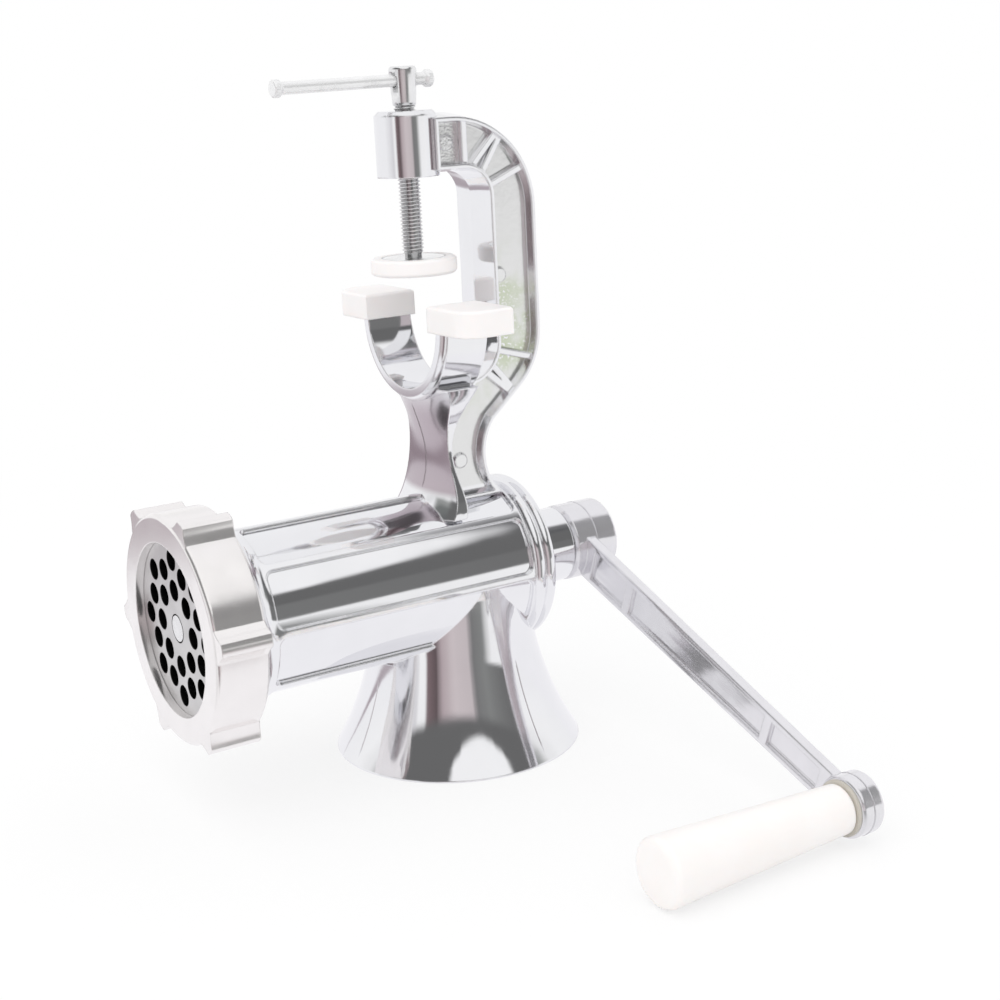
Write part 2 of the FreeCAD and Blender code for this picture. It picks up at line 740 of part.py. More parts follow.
def tommy_bar():
    """Sliding bar with an upset knob on each end."""
    face = outline((bar_left, 0), (bar_left, bar_end_r - 1),
                   ((bar_left + 0.3, bar_end_r - 0.3), (bar_left + 1, bar_end_r)),
                   (bar_left + bar_end_w, bar_r), (bar_right - bar_end_w, bar_r),
                   (bar_right - 1, bar_end_r),
                   ((bar_right - 0.3, bar_end_r - 0.3), (bar_right, bar_end_r - 1)), (bar_right, 0))
    face.translate(V(0, 0, bar_z))
    return face.revolve(V(0, 0, bar_z), V(1, 0, 0), 360)


def swivel_foot():
    """Flat steel disc that swivels on the screw's end and sits in the pad."""
    top = pad_foot_low + pad_foot_t
    return on_clamp((foot_hole_r, top - foot_t), (foot_r, top - foot_t), (foot_r, top - 0.4),
                    (foot_r - 0.4, top), (foot_hole_r, top))


def foot_pad():
    """Round plastic pad under the screw, cupped for the disc and the riveted end."""
    top = pad_foot_low + pad_foot_t
    seat = top - foot_t
    well = seat - rivet_t - 2 * fit - free
    edge = pad_edge
    return on_clamp((0, pad_foot_low), (pad_foot_r - edge, pad_foot_low),
                    (pad_foot_r, pad_foot_low + edge),
                    (pad_foot_r, top - edge), (pad_foot_r - edge, top), (foot_r + fit, top),
                    (foot_r + fit, seat),
                    (rivet_r + free, seat), (rivet_r + free, well), (0, well))


def jaw_pad(side):
    """Plastic jaw pad with rounded outer corners, pushed on to the peg of its yoke arm."""
    x0 = clamp_x + pad_shift - pad_x / 2
    inner = yoke_r - pad_lap
    outer = inner + pad_y
    solid = block(x0, x0 + pad_x, inner, outer, arm_top, arm_top + pad_t)
    upright = [e for e in solid.Edges if abs(e.BoundBox.ZLength - pad_t) < 1e-6
               and abs(e.BoundBox.YMin - outer) < 1e-6]
    upright.sort(key=lambda e: e.BoundBox.XMin)
    solid = solid.makeFillet(pad_round, upright[:1])
    upright = [e for e in solid.Edges if abs(e.BoundBox.ZLength - pad_t) < 1e-6
               and abs(e.BoundBox.YMin - outer) < 1e-6
               and abs(e.BoundBox.XMin - x0 - pad_x) < 1e-6]
    solid = solid.makeFillet(pad_corner, upright)
    rims = [e for e in solid.Edges if abs(e.BoundBox.ZLength) < 1e-6 and e.BoundBox.ZMin > arm_top + 1]
    solid = solid.makeChamfer(pad_edge, rims)
    solid = solid.cut(Part.makeCylinder(peg_r + fit, peg_len + free,
                                        V(clamp_x, yoke_r + yoke_t / 2, arm_top)))
    if side < 0:
        solid = solid.mirror(V(0, 0, 0), V(0, 1, 0))
    return solid


def hung(shape):
    """Turn a crank piece to where it hangs with the grip resting on the floor."""
    return about_axis(shape, droop)


parts = {
    "body_casting": body_casting(),
    "rear_bush": rear_bush(),
    "thrust_washer": thrust_washer(),
    "plate_key": plate_key(),
    "feed_screw": hung(feed_screw()),
    "drive_stud": hung(drive_stud()),
    "knife": hung(knife()),
    "hole_plate": hole_plate(),
    "ring_nut": ring_nut(),
    "crank_arm": hung(crank_arm()),
    "crank_washer": hung(crank_washer()),
    "crank_screw": hung(crank_screw()),
    "grip_washer": hung(grip_washer()),
    "grip_pin": hung(grip_pin()),
    "grip": hung(grip()),
    "clamp_screw": clamp_screw(),
    "tommy_bar": tommy_bar(),
    "swivel_foot": swivel_foot(),
    "foot_pad": foot_pad(),
    "jaw_pad_left": jaw_pad(1),
    "jaw_pad_right": jaw_pad(-1),
}

os.makedirs("parts", exist_ok=True)
for name, shape in parts.items():
    shape = shape.removeSplitter()
    shape.exportStep(f"parts/{name}.step")
    print(name, len(shape.Solids), round(shape.Volume), shape.isValid(), shape.BoundBox)
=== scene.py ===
"""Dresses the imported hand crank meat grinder: finishes for its castings, steel and plastic pieces,
the clamp screw's cut thread, the bar's crimped ends, the castings' parting lines, and a white studio."""

import math

import bmesh
import bpy
import numpy as np
from bpy.props import FloatProperty, FloatVectorProperty, IntProperty, PointerProperty
from mathutils import Matrix, Vector
from mathutils.bvhtree import BVHTree


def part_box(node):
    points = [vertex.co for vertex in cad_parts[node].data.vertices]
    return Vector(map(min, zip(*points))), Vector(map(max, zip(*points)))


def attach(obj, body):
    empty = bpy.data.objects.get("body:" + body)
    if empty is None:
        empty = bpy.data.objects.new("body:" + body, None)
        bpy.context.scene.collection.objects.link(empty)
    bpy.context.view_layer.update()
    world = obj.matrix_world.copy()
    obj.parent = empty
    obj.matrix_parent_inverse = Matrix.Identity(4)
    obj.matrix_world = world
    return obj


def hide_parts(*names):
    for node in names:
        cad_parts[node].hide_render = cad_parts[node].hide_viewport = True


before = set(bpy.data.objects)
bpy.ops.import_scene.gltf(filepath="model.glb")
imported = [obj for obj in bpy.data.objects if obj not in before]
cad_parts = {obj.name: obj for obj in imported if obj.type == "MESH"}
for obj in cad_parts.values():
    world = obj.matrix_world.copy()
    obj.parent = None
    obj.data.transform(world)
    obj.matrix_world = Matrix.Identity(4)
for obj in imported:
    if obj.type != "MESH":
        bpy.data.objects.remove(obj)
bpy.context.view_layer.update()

bl_info = {
    "name": "Meat grinder finishes",
    "version": (1, 0, 0),
    "blender": (4, 5, 0),
    "location": "3D View > Sidebar > Grinder",
    "description": "Gives the packed meat grinder its finishes, cut thread and studio",
    "category": "Object",
}


def node_box(node):
    """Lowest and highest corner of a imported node, as two numpy rows in metres."""
    low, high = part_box(node)
    return np.array(low), np.array(high)


SCREW_LOW, SCREW_HIGH = node_box("clamp_screw")
BAR_LOW, BAR_HIGH = node_box("tommy_bar")
NUT_LOW, NUT_HIGH = node_box("ring_nut")
AXIS_HEIGHT = float(NUT_LOW[2] + NUT_HIGH[2]) / 2
CLAMP_X = float(SCREW_LOW[0] + SCREW_HIGH[0]) / 2
BAR_HEIGHT = float(BAR_LOW[2] + BAR_HIGH[2]) / 2
HUB_MIDDLE = sum(node_box("crank_washer")) / 2
EYE_MIDDLE = sum(node_box("grip_pin")) / 2
ARM_LEAN = math.atan2(HUB_MIDDLE[2] - EYE_MIDDLE[2], HUB_MIDDLE[1] - EYE_MIDDLE[1])

# Zones of the casting's finish
POCKET_HALF, POCKET_LOW = 0.0089, 0.0960  # half width and foot of the clamp frame's pockets
KNEE_LOW, KNEE_HIGH = 0.128, 0.173  # heights between which their floors are stained
CELL_X, CELL_LOW = 0.0110, 0.200  # far end and foot of the grained first cell
STEM_LOW, STEM_HIGH, STEM_X = 0.0960, 0.131, 0.001  # foot, top and far end of the stem's brushed front
FORK_HEIGHT, FORK_RADIUS = 0.1575, 0.0199  # middle and radius of the jaw fork's unpolished inside
FORK_LOW, FORK_X = 0.1310, 0.0055  # foot and far end of that inside

# Where the mould's lines are looked for on the casting
HOPPER_START, HOPPER_LOW, HOPPER_HIGH = 0.1, 0.003, 0.036
STEM_START, STEM_LINE_LOW, STEM_LINE_HIGH = 0.06, 0.0965, 0.128
LINE_POINTS = 40
LINE_STEP = 0.004  # jump from face to face at which a line ends


def colour(label, about, default):
    """A colour setting, linear red, green and blue."""
    return FloatVectorProperty(name=label, description=about, default=default, size=3,
                               subtype="COLOR", min=0.0, max=1.0)


def number(label, about, default, **more):
    """A setting that is one number."""
    return FloatProperty(name=label, description=about, default=default, **more)


def length(label, about, default):
    """A length setting in metres."""
    return number(label, about, default, unit="LENGTH", min=0.0, precision=5)


def share(label, about, default):
    """A setting from none to full."""
    return number(label, about, default, subtype="FACTOR", min=0.0, max=1.0)


def angle(label, about, default):
    """An angle setting, given here in degrees."""
    return number(label, about, math.radians(default), subtype="ANGLE")


def count(label, about, default, least):
    """A whole number with its least value."""
    return IntProperty(name=label, description=about, default=default, min=least)


def point(label, about, default):
    """A point in metres."""
    return FloatVectorProperty(name=label, description=about, default=default, size=3,
                               subtype="TRANSLATION", unit="LENGTH")


class GrinderFinishes(bpy.types.PropertyGroup):
    """Colours and smoothness of the metals and plastics."""

    cast_colour: colour("Casting", "Polished cast metal", (0.88, 0.88, 0.90))
    arm_colour: colour("Crank", "Tumbled cast metal of the crank", (0.83, 0.82, 0.85))
    raw_colour: colour("Pocket", "Unpolished floor of the clamp frame's pockets", (0.80, 0.80, 0.80))
    raw_low_colour: colour("Low pocket", "The same floor towards the knee", (0.64, 0.69, 0.55))
    stem_colour: colour("Stem", "Brushed front of the jaw's stem", (0.50, 0.44, 0.475))
    nut_colour: colour("Ring nut", "Satin-polished nut", (0.93, 0.905, 0.90))
    steel_colour: colour("Steel", "Plated steel of the screws and bar", (0.89, 0.89, 0.895))
    plate_colour: colour("Plate", "Ground steel of the plate and its key", (0.70, 0.69, 0.69))
    # Painted shade: the knife's near black stands for the dark behind the plate
    knife_painted_shade: colour("Knife", "Dark forged steel of the knife", (0.06, 0.06, 0.062))
    pad_colour: colour("Pads", "White plastic of the clamp pads", (0.94, 0.91, 0.905))
    grip_colour: colour("Grip", "Warm white plastic of the grip", (0.95, 0.915, 0.90))
    bearing_colour: colour("Bearings", "Beige plastic of bush and washers", (0.62, 0.59, 0.53))
    cast_rough: share("Casting roughness", "Blur of the polished casting", 0.055)
    raw_rough: share("Pocket roughness", "Blur of the unpolished pockets", 0.20)
    nut_rough: share("Nut roughness", "Blur of the ring nut", 0.20)
    nut_bright: share("Nut metal", "How far the satin nut shines as bare metal", 0.88)
    arm_rough: share("Crank roughness", "Blur of the tumbled crank casting", 0.12)
    arm_bright: share("Crank metal", "How far the crank shines as bare metal", 0.75)
    steel_rough: share("Steel roughness", "Blur of the plated steel", 0.22)
    bar_bright: share("Bar metal", "How far the pale plated bar shines as bare metal", 0.35)
    plate_rough: share("Plate roughness", "Blur of the ground plate", 0.34)
    plastic_rough: share("Plastic roughness", "Blur of the plastic's gloss", 0.42)
    edge_round: length("Edge rounding", "Radius to which polished edges look worn", 0.0009)
    wave_depth: length("Polishing waves", "Depth of the long waves left by the buffing wheel", 0.00010)
    grain_depth: length("Cast grain", "Depth of the grain on unpolished faces", 0.00012)
    flow_depth: length("Flow lines", "Depth of the plastic's flow lines", 0.00003)
    skin_depth: length("Plastic skin", "Depth of the plastic's leathery skin", 0.000006)


class GrinderThread(bpy.types.PropertyGroup):
    """Sizes of the clamp screw."""

    pitch: length("Pitch", "Rise of the thread in one turn", 0.00125)
    depth: length("Depth", "Height of the thread from root to crest", 0.00070)
    major: length("Thread radius", "Radius over the crests", 0.00385)
    neck: length("Neck radius", "Radius of the neck inside the foot", 0.00295)
    end_length: length("End length", "Length of neck and riveted end below the thread", 0.0042)
    end_radius: length("End radius", "Radius of the riveted end's flat", 0.0030)
    head_length: length("Head length", "Length of the head", 0.0129)
    head_radius: length("Head radius", "Radius of the head at its top", 0.0047)
    head_foot: length("Head foot", "Radius of the head where it meets the thread", 0.0040)
    around: count("Around", "Points round the screw", 48, 12)
    rows: count("Rows", "Rows for each turn of the thread", 12, 6)


class GrinderBar(bpy.types.PropertyGroup):
    """Sizes of the sliding bar through the clamp screw's head."""

    radius: length("Radius", "Radius of the bar", 0.0021)
    end_radius: length("End radius", "Radius over the crimped ends", 0.0030)
    end_length: length("End length", "Length of a crimped end", 0.0036)
    flare: share("Flare", "Share of an end's length over which it swells", 0.45)
    end_lip: length("End lip", "Length over which an end's face is rounded off", 0.0004)
    end_dome: length("End dome", "Length over which an end narrows to its face", 0.0008)
    end_face: share("End face", "Radius of an end's face as a share of the end's", 0.72)
    crimp: length("Crimp", "Depth of the crimping flutes", 0.00022)
    flutes: count("Flutes", "Crimping flutes round an end", 16, 3)
    droop: angle("Droop", "How far the loose bar tilts in its hole", 0.8)
    hole: length("Hole radius", "Radius of the hole in the screw's head", 0.0026)
    hole_drop: length("Hole drop", "How far the hole lies below the bar, so that it slides clear", 0.00027)


class GrinderLines(bpy.types.PropertyGroup):
    """Lines that the mould leaves on the castings."""

    width: length("Line width", "Width of a parting line", 0.0006)
    height: length("Line height", "Height of a parting line over the face", 0.00016)
    front_turn: angle("Front turn", "Turn of the hopper's front line from the feed axis", 183.0)
    side_turn: angle("Side turn", "Turn of the hopper's side line from the feed axis", 285.0)
    eye_x: length("Eye line", "Place of the line round the crank's eye along the feed axis", 0.05355)
    eye_radius: length("Eye radius", "Radius of the crank's eye", 0.0102)
    hub_x: length("Hub line", "Place of the line round the crank's hub along the feed axis", 0.0570)
    hub_radius: length("Hub radius", "Radius of the crank's hub", 0.0142)


class GrinderStudio(bpy.types.PropertyGroup):
    """Camera, floor and light."""

    target: point("Target", "Point that the camera looks at", (0.021538, -0.003081, 0.087116))
    distance: length("Distance", "Camera to target", 0.621224)
    turn: angle("Azimuth", "Camera's turn round the grinder", -31.815)
    rise: angle("Elevation", "Camera's height over the horizon", 14.5)
    roll: angle("Roll", "Camera's tilt about its own axis", -2.828)
    lens: number("Lens", "Focal length in millimetres", 61.038, min=1.0, unit="CAMERA")
    floor_radius: length("Floor radius", "Radius of the round floor", 1.3)
    floor_colour: colour("Floor", "White floor", (0.93, 0.93, 0.93))
    floor_shadow: share("Shadow", "How much of the floor's shading the camera sees", 0.28)
    box_turn: angle("Box turn", "Turn from the camera to the soft box", 27.0)
    box_rise: angle("Box rise", "Height of the soft box over the horizon", 56.0)
    box_edge: share("Box edge", "Cosine of the soft box's half angle", 0.84)
    fill: number("Fill", "Strength of the light from all round", 1.0, min=0.0)
    key: number("Key", "Power of the large lamp overhead", 3.2, min=0.0, unit="POWER")
    key_size: length("Key size", "Width of the large lamp", 1.2)
    key_place: point("Key place", "Where the large lamp hangs", (-0.55, -0.35, 1.25))
    key_aim: point("Key aim", "Point that the large lamp faces", (0.0, 0.0, 0.1))


# Tones of the room that the metal reflects. ROOM_TONES go by height, the sine of the rise over the
# horizon. The others are upright bands in front, by the sine of the turn from the camera.
WHITE = (1.0, 1.0, 1.0)
PALE = (0.97, 0.97, 0.98)
ROOM_TONES = (
    (-1.0, (0.95, 0.94, 0.96)), (0.0, PALE), (0.2, WHITE), (0.29, (0.92, 0.92, 0.92)),
    (0.38, (0.34, 0.35, 0.34)), (0.48, (0.19, 0.20, 0.195)), (0.7, (0.12, 0.12, 0.125)),
    (0.81, (0.20, 0.20, 0.205)), (0.88, (0.95, 0.95, 0.96)), (1.0, WHITE))
FRONT_TONES = (
    (-1.0, (0.96, 0.96, 0.97)), (-0.76, (0.74, 0.73, 0.75)), (-0.67, WHITE), (-0.61, WHITE),
    (-0.54, (0.22, 0.16, 0.17)), (-0.38, (0.13, 0.10, 0.105)), (-0.24, (0.50, 0.42, 0.435)),
    (0.02, (0.66, 0.59, 0.60)), (0.36, (0.60, 0.54, 0.55)), (0.46, (0.21, 0.21, 0.21)),
    (0.66, (0.25, 0.255, 0.25)))
WALL_TONES = FRONT_TONES + ((0.92, (0.17, 0.17, 0.17)), (0.96, (0.30, 0.30, 0.30)), (1.0, (0.9, 0.9, 0.9)))
FLOOR_TONES = FRONT_TONES + ((0.80, (0.96, 0.96, 0.96)), (1.0, WHITE))
BANDS_TOP = 0.305  # heights as in ROOM_TONES: top of the bands,
OVER_LOW, OVER_HIGH = 0.18, 0.84  # the dark over them,
BACK_LOW = 0.325  # and the foot of the bright wall behind
OVER_TONE = (0.15, 0.15, 0.15)
BACK_TONE = (0.97, 0.965, 0.985)
DIM_TONE = (0.13, 0.04, 0.08)
# Painted shade: near black laid on the plate's bore walls, where shade falls inside the holes
BORE_PAINTED_SHADE = (0.02, 0.02, 0.02)
AGED = (0.99, 0.985, 0.98)

# Zones of the floor, in metres from its middle
FLOOR_RINGS = (0.6, 0.3)
FLOOR_GAP = 0.0003  # room under the hopper's rim
SHADOW_REACH = 0.385  # where the shading that the camera sees has half faded
BANDS_NEAR = 0.18  # where reflections lose the floor in front
DIM_NEAR, DIM_FAR = 0.38, 0.71  # a dim strip at the back, in reflections
DIM_SHARE = 0.6


def heading(turn, rise=0.0):
    """Direction at a turn about Z from -Y and a rise over the horizon."""
    return math.sin(turn) * math.cos(rise), -math.cos(turn) * math.cos(rise), math.sin(rise)


class Nodes:
    """A node tree in the making, with short calls that the finishes and the room share."""

    def __init__(self, tree):
        self.tree = tree
        tree.nodes.clear()

    def add(self, kind, **settings):
        """A new node with its settings."""
        made = self.tree.nodes.new("ShaderNode" + kind)
        for name, value in settings.items():
            setattr(made, name, value)
        return made

    def feed(self, socket, value):
        """Links a socket to another one, or sets it to a plain value, such as a red-green-blue colour.
        None leaves it as it is."""
        if isinstance(value, bpy.types.NodeSocket):
            self.tree.links.new(value, socket)
        elif socket.type == "RGBA":
            socket.default_value = (*value, 1.0)
        elif value is not None:
            socket.default_value = value

    def sum(self, operation, a, b=0.0, c=0.0):
        """One sum of up to three numbers."""
        made = self.add("Math", operation=operation)
        for socket, value in zip(made.inputs, (a, b, c)):
            self.feed(socket, value)
        return made.outputs[0]

    def both(self, first, *others):
        """The product of masks, full only where all of them are."""
        for other in others:
            first = self.sum("MULTIPLY", first, other)
        return first

    def ramp(self, value, low, high, to_low=0.0, to_high=1.0):
        """A number carried smoothly from one range to another."""
        made = self.add("MapRange", interpolation_type="SMOOTHSTEP")
        for name, amount in (("Value", value), ("From Min", low), ("From Max", high),
                             ("To Min", to_low), ("To Max", to_high)):
            self.feed(made.inputs[name], amount)
        return made.outputs["Result"]

    def above(self, value, edge, blur):
        """A mask that is full past an edge, and blurred to both sides of it."""
        return self.ramp(value, edge - blur, edge + blur)

    def below(self, value, edge, blur):
        """A mask that is full short of an edge, and blurred likewise."""
        return self.ramp(value, edge - blur, edge + blur, 1.0, 0.0)

    def blend(self, amount, first, second):
        """A colour between two others."""
        made = self.add("Mix", data_type="RGBA")
        self.feed(made.inputs["Factor"], amount)
        self.feed(made.inputs[6], first)
        self.feed(made.inputs[7], second)
        return made.outputs[2]

    def mixed(self, amount, first, second):
        """A shader between two others."""
        made = self.add("MixShader")
        for socket, value in zip(made.inputs, (amount, first, second)):
            self.feed(socket, value)
        return made.outputs[0]

    def light(self, kind, shade, strength=1.0):
        """A glowing surface or background."""
        made = self.add(kind)
        self.feed(made.inputs["Color"], shade)
        made.inputs["Strength"].default_value = strength
        return made.outputs[0]

    def split(self, vector):
        """The three numbers of a vector."""
        made = self.add("SeparateXYZ")
        self.feed(made.inputs[0], vector)
        return made.outputs

    def vector(self, operation, first, second=None):
        """One sum of vectors."""
        made = self.add("VectorMath", operation=operation)
        self.feed(made.inputs[0], first)
        self.feed(made.inputs[1], second)
        return made.outputs

    def along(self, place, direction):
        """How far a place lies along a direction."""
        return self.vector("DOT_PRODUCT", place, direction)["Value"]

    def distance(self, place):
        """How far a place lies from the origin."""
        return self.vector("LENGTH", place)["Value"]

    def bands(self, value, tones, blending="LINEAR"):
        """A colour looked up in a row of tones by a value from -1 to 1."""
        made = self.add("ValToRGB")
        self.feed(made.inputs[0], self.sum("MULTIPLY_ADD", value, 0.5, 0.5))
        made.color_ramp.interpolation = blending
        while len(made.color_ramp.elements) < len(tones):
            made.color_ramp.elements.new(0.5)
        for element, (position, tone) in zip(made.color_ramp.elements, tones):
            element.position = 0.5 + 0.5 * position
            element.color = (*tone, 1.0)
        return made.outputs[0]

    def front_side(self, place, front):
        """Sine of the level turn from the front to a place or direction, and a mask of what is in front."""
        level = self.vector("MULTIPLY", place, (1.0, 1.0, 0.0))["Vector"]
        unit = self.vector("NORMALIZE", level)["Vector"]
        aside = self.along(unit, (-front[1], front[0], 0.0))
        return aside, self.above(self.along(unit, front), 0.225, 0.075)


class Finish(Nodes):
    """A material in the making, with what only surfaces need."""

    def __init__(self, name):
        self.material = bpy.data.materials.new(name)
        self.material.use_nodes = True
        super().__init__(self.material.node_tree)
        self.out = self.add("OutputMaterial")
        self.place = self.add("TexCoord").outputs["Object"]

    def stretched(self, scale, shift=(0.0, 0.0, 0.0), turn=0.0):
        """Object coordinates turned about X or moved, and stretched."""
        place = self.place
        if turn:
            level = self.add("VectorRotate", rotation_type="X_AXIS")
            self.feed(level.inputs["Vector"], place)
            level.inputs["Angle"].default_value = turn
            place = level.outputs["Vector"]
        made = self.add("Mapping")
        self.feed(made.inputs["Vector"], place)
        made.inputs["Location"].default_value = [-s * k for s, k in zip(shift, scale)]
        made.inputs["Scale"].default_value = scale
        return made.outputs["Vector"]

    def noise(self, scale, detail=2.0, place=None):
        """Soft noise from 0 to 1; scale is in waves per metre."""
        made = self.add("TexNoise")
        self.feed(made.inputs["Vector"], place or self.place)
        made.inputs["Scale"].default_value = scale
        made.inputs["Detail"].default_value = detail
        return made.outputs["Fac"]

    def mottled(self, noise, paint, share_left):
        """A colour that a noise brings down to a share of itself."""
        return self.blend(noise, paint, darker(paint, share_left))

    def patchy(self, noise, rough, least, most):
        """A roughness that follows a noise between two shares of itself."""
        return self.ramp(noise, 0.3, 0.7, rough * least, rough * most)

    def normal_parts(self):
        """The three numbers of the surface's true normal."""
        return self.split(self.add("NewGeometry").outputs["Normal"])

    def edges(self, radius):
        """Normals that run round the edges, as buffing leaves them."""
        made = self.add("Bevel", samples=6)
        made.inputs["Radius"].default_value = radius
        return made.outputs["Normal"]

    def bump(self, height, distance, normal=None, strength=1.0):
        """Normals tilted by a height, with its full depth in metres."""
        made = self.add("Bump")
        made.inputs["Distance"].default_value = distance
        self.feed(made.inputs["Strength"], strength)
        self.feed(made.inputs["Height"], height)
        self.feed(made.inputs["Normal"], normal)
        return made.outputs["Normal"]

    def surface(self, paint, rough, normal, **fixed):
        """The shader itself; fixed values stay on their own sockets."""
        made = self.add("BsdfPrincipled")
        self.feed(made.inputs["Base Color"], paint)
        self.feed(made.inputs["Roughness"], rough)
        self.feed(made.inputs["Normal"], normal)
        for name, value in fixed.items():
            made.inputs[name.replace("_", " ")].default_value = value
        self.tree.links.new(made.outputs[0], self.out.inputs["Surface"])
        return self.material


def darker(paint, share_left):
    """A colour brought down to a share of itself."""
    return tuple(channel * share_left for channel in paint)


def casting_zones(look):
    """Masks of the casting's zones: floors of the clamp frame's pockets, their stained knee and grained
    first cell, the stem's brushed front, and the inside of the jaw fork."""
    x, y, z = look.split(look.place)
    ahead, aside, _ = look.normal_parts()
    pocket = look.both(look.above(look.sum("ABSOLUTE", aside), 0.935, 0.035),
                       look.below(look.sum("ABSOLUTE", y), POCKET_HALF, 0.0003),
                       look.above(z, POCKET_LOW, 0.0005))
    knee = look.both(look.above(z, KNEE_LOW, 0.010), look.below(z, KNEE_HIGH, 0.013))
    cell = look.both(look.below(x, CELL_X, 0.0005), look.above(z, CELL_LOW, 0.002))
    stem = look.both(look.above(z, STEM_LOW, 0.0015), look.below(z, STEM_HIGH, 0.009),
                     look.below(ahead, -0.70, 0.10), look.below(x, STEM_X, 0.001))
    from_fork = look.distance(look.stretched((0.0, 1.0, 1.0), (0.0, 0.0, FORK_HEIGHT)))
    throat = look.both(look.below(from_fork, FORK_RADIUS, 0.0002),
                       look.below(x, FORK_X, 0.0005), look.above(z, FORK_LOW, 0.0010))
    return pocket, knee, cell, stem, throat


def polished_casting(finishes):
    """Buffed cast metal. Long waves bend its reflections, fine streaks follow the buffing wheel, and
    the floors of the clamp frame's pockets stay as cast: duller, darker and grained."""
    look = Finish("polished_casting")
    pocket, knee, cell, stem, throat = casting_zones(look)
    blotch = look.noise(70.0, 3.0)
    stained = look.both(knee, look.ramp(blotch, 0.36, 0.60))
    specks = look.both(knee, look.ramp(look.noise(900.0, 2.0), 0.56, 0.64), look.ramp(blotch, 0.40, 0.60))
    floor_tone = look.blend(stained, finishes.raw_colour, finishes.raw_low_colour)
    floor_tone = look.blend(specks, floor_tone, finishes.cast_colour)
    paint = look.blend(pocket, look.mottled(blotch, finishes.cast_colour, 0.94), floor_tone)
    paint = look.blend(stem, paint, finishes.stem_colour)
    unpolished = look.sum("MAXIMUM", look.sum("MAXIMUM", pocket, stem), throat)
    rough = look.sum("ADD", look.patchy(blotch, finishes.cast_rough, 0.7, 1.4),
                     look.sum("MULTIPLY", unpolished, finishes.raw_rough - finishes.cast_rough))
    streak = look.noise(1.0, 4.0, look.stretched((90.0, 900.0, 900.0)))
    grained = look.sum("MAXIMUM", look.sum("MULTIPLY", pocket, 0.35), look.sum("MULTIPLY", throat, 0.25))
    normal = look.bump(look.noise(34.0, 1.0), finishes.wave_depth, look.edges(finishes.edge_round))
    normal = look.bump(streak, finishes.wave_depth * 0.02, normal)
    normal = look.bump(look.noise(520.0, 3.0), finishes.grain_depth, normal, grained)
    normal = look.bump(look.noise(1300.0, 3.0), finishes.grain_depth * 1.4, normal, look.both(pocket, cell))
    return look.surface(paint, rough, normal, Metallic=1.0)


def polished_arm(finishes):
    """Tumbled cast metal of the crank, with furrows and streaks along the arm."""
    look = Finish("polished_arm")
    streak = look.noise(1.0, 4.0, look.stretched((900.0, 60.0, 900.0), turn=-ARM_LEAN))
    furrow = look.noise(1.0, 1.0, look.stretched((60.0, 9.0, 150.0), turn=-ARM_LEAN))
    blotch = look.noise(110.0, 3.0)
    paint = look.mottled(blotch, finishes.arm_colour, 0.90)
    rough = look.patchy(blotch, finishes.arm_rough, 0.8, 1.3)
    normal = look.bump(look.noise(60.0, 1.0), finishes.wave_depth * 0.8, look.edges(finishes.edge_round))
    normal = look.bump(furrow, finishes.wave_depth * 2.2, normal)
    normal = look.bump(streak, finishes.wave_depth * 0.06, normal)
    return look.surface(paint, rough, normal, Metallic=finishes.arm_bright)


def satin_nut(finishes):
    """Cast nut with a satin polish that blurs its reflections, and long shallow buffing waves."""
    look = Finish("satin_nut")
    blotch = look.noise(90.0, 3.0)
    paint = look.mottled(blotch, finishes.nut_colour, 0.93)
    rough = look.patchy(blotch, finishes.nut_rough, 0.85, 1.2)
    normal = look.bump(look.noise(45.0, 1.0), finishes.wave_depth, look.edges(finishes.edge_round * 0.6))
    return look.surface(paint, rough, normal, Metallic=finishes.nut_bright)


def ground_plate(finishes):
    """Surface-ground steel: fine rings about the feed axis, light stains, and painted shade, near black, on
    faces that turn across the feed axis, such as the bores' walls.
    """
    look = Finish("ground_plate")
    rings = look.add("TexWave", wave_type="RINGS", rings_direction="X")
    look.feed(rings.inputs["Vector"], look.stretched((1.0, 1.0, 1.0), (0.0, 0.0, AXIS_HEIGHT)))
    for name, value in (("Scale", 330.0), ("Distortion", 1.5), ("Detail", 3.0)):
        rings.inputs[name].default_value = value
    stain = look.noise(120.0, 4.0)
    facing = look.sum("ABSOLUTE", look.normal_parts()[0])
    # Painted shade: faces across the feed axis (the bores' walls, and also the plate's rim and the key's
    # sides) go near black
    bore_painted_shade = look.ramp(facing, 0.3, 0.6, 0.95, 0.0)
    paint = look.blend(bore_painted_shade, look.mottled(stain, finishes.plate_colour, 0.86), BORE_PAINTED_SHADE)
    rough = look.patchy(stain, finishes.plate_rough, 0.85, 1.15)
    edges = look.edges(finishes.edge_round * 0.5)
    normal = look.bump(rings.outputs["Fac"], finishes.wave_depth * 0.04, edges)
    return look.surface(paint, rough, normal, Metallic=1.0)


def forged_steel(finishes):
    """Forged steel with a little scale, coloured near black as painted shade for the dark behind the plate.
    """
    look = Finish("forged_steel")
    edges = look.edges(finishes.edge_round * 0.5)
    normal = look.bump(look.noise(500.0, 3.0), finishes.wave_depth * 0.3, edges)
    # Painted shade: the knife's colour is near black
    return look.surface(finishes.knife_painted_shade, finishes.plate_rough * 1.4, normal, Metallic=1.0)


